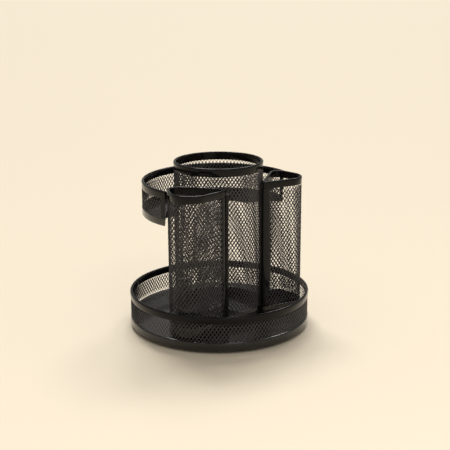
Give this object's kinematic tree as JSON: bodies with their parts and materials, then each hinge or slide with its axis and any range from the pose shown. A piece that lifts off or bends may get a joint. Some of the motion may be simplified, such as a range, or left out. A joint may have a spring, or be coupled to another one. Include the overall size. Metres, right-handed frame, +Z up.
{
  "type": "rotating desk organiser",
  "caption": "Rotating mesh desk organiser: round tray on a ball-bearing turntable, tall centre cup, lower side cups and a raised C-shaped tray.",
  "frame": {"origin": "centre of the turntable on the table top, on the spin axis", "axes": "+Z up along the spin axis, front of the organiser towards -Y, +X to the right"},
  "size_m": [0.16, 0.16, 0.1488],
  "materials": {
    "black_steel": "satin black powder coat",
    "mesh_black": "satin black powder coat on expanded metal",
    "gloss_black": "semi-gloss black paint on pressed sheet",
    "rubber": "matte",
    "zinc_steel": "zinc plated",
    "ball_steel": "polished",
    "cage_plastic": "natural nylon"
  },
  "bodies": {
    "stand": {"stand_base_plate": "black_steel", "rubber_feet": "rubber", "lower_race": "zinc_steel", "pivot_bolt": "zinc_steel", "pivot_bush": "zinc_steel", "pivot_washer": "zinc_steel", "pivot_nut": "zinc_steel"},
    "ball_cage": {"ball_cage": "cage_plastic", "bearing_balls": "ball_steel"},
    "carousel": {"upper_race": "zinc_steel", "base_floor_pan": "gloss_black", "base_wall_mesh": "mesh_black", "base_rim": "black_steel", "centre_cup_pan": "gloss_black", "centre_cup_wall_mesh": "mesh_black", "centre_cup_rim": "black_steel", "front_cup_pan": "gloss_black", "front_cup_wall_mesh": "mesh_black", "front_cup_rim": "black_steel", "front_cup_seam_strip": "black_steel", "right_cup_pan": "gloss_black", "right_cup_wall_mesh": "mesh_black", "right_cup_rim": "black_steel", "right_cup_seam_strip": "black_steel", "upper_tray_pan": "gloss_black", "upper_tray_wall_mesh": "mesh_black", "upper_tray_rim": "black_steel", "upper_tray_end_strips": "black_steel"}
  },
  "joints": [
    {"name": "carousel_spin", "type": "hinge", "parent": "stand", "child": "carousel", "pos_m": [0, 0, 0.006], "axis": [0, 0, 1], "continuous": true},
    {"name": "ball_cage_spin", "type": "hinge", "parent": "stand", "child": "ball_cage", "pos_m": [0, 0, 0.006], "axis": [0, 0, 1], "continuous": true}
  ],
  "couplings": [
    {"joint": "ball_cage_spin", "follows": "carousel_spin", "ratio": 0.5}
  ]
}
